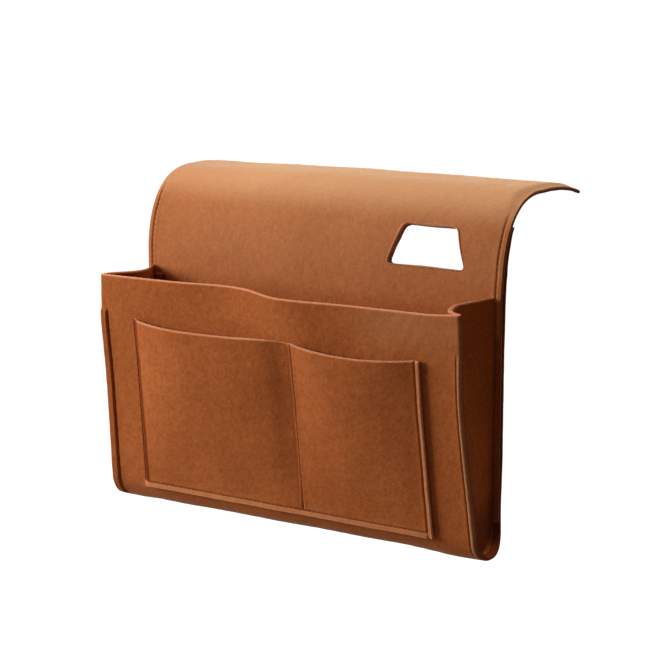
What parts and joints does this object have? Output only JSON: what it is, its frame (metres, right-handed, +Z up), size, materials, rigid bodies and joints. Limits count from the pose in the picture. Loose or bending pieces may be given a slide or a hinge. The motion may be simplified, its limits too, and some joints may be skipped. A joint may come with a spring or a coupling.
{
  "type": "bedside caddy",
  "caption": "Hanging felt caddy with a flap that reaches in over a bed, a wedge-shaped main pocket with side gussets, two small pockets on its front and a cable opening in its back.",
  "frame": {"origin": "middle of the level stretch of the flap, on its underside, where the caddy rests on the bed", "axes": "+X along the caddy's width to the right as seen from the front, +Y in over the bed, +Z up; the pockets face -Y"},
  "size_m": [0.365, 0.2067, 0.2889],
  "materials": {
    "outer_felt": "rust-brown pressed felt with a fine short nap, matt",
    "inner_felt": "the same felt, slightly darker where it lies in the shade",
    "sewing_thread": "tone-on-tone polyester thread"
  },
  "bodies": {
    "flap": {"flap_panel": "outer_felt", "flap_bend": "outer_felt"},
    "pocket_back": {"back_panel": "outer_felt", "rear_panel": "inner_felt", "left_gusset": "inner_felt", "right_gusset": "inner_felt", "left_back_seam": "sewing_thread", "right_back_seam": "sewing_thread", "left_gusset_seam": "sewing_thread", "right_gusset_seam": "sewing_thread"},
    "pocket_front": {"front_panel": "outer_felt", "front_pocket": "outer_felt", "left_corner_seam": "sewing_thread", "right_corner_seam": "sewing_thread", "pocket_left_seam": "sewing_thread", "pocket_right_seam": "sewing_thread", "pocket_divider_seam": "sewing_thread", "pocket_foot_seam": "sewing_thread"}
  },
  "joints": [
    {"name": "flap_fold", "type": "hinge", "parent": "flap", "child": "pocket_back", "pos_m": [0, -0.0575, -0.0105], "axis": [1, 0, 0], "range_deg": [-90, 75], "deforming": ["flap_bend"]},
    {"name": "mouth_fold", "type": "hinge", "parent": "pocket_back", "child": "pocket_front", "pos_m": [0, -0.10724, -0.27428], "axis": [1, 0, 0], "range_deg": [-15, 0], "deforming": ["left_gusset", "right_gusset"]}
  ]
}
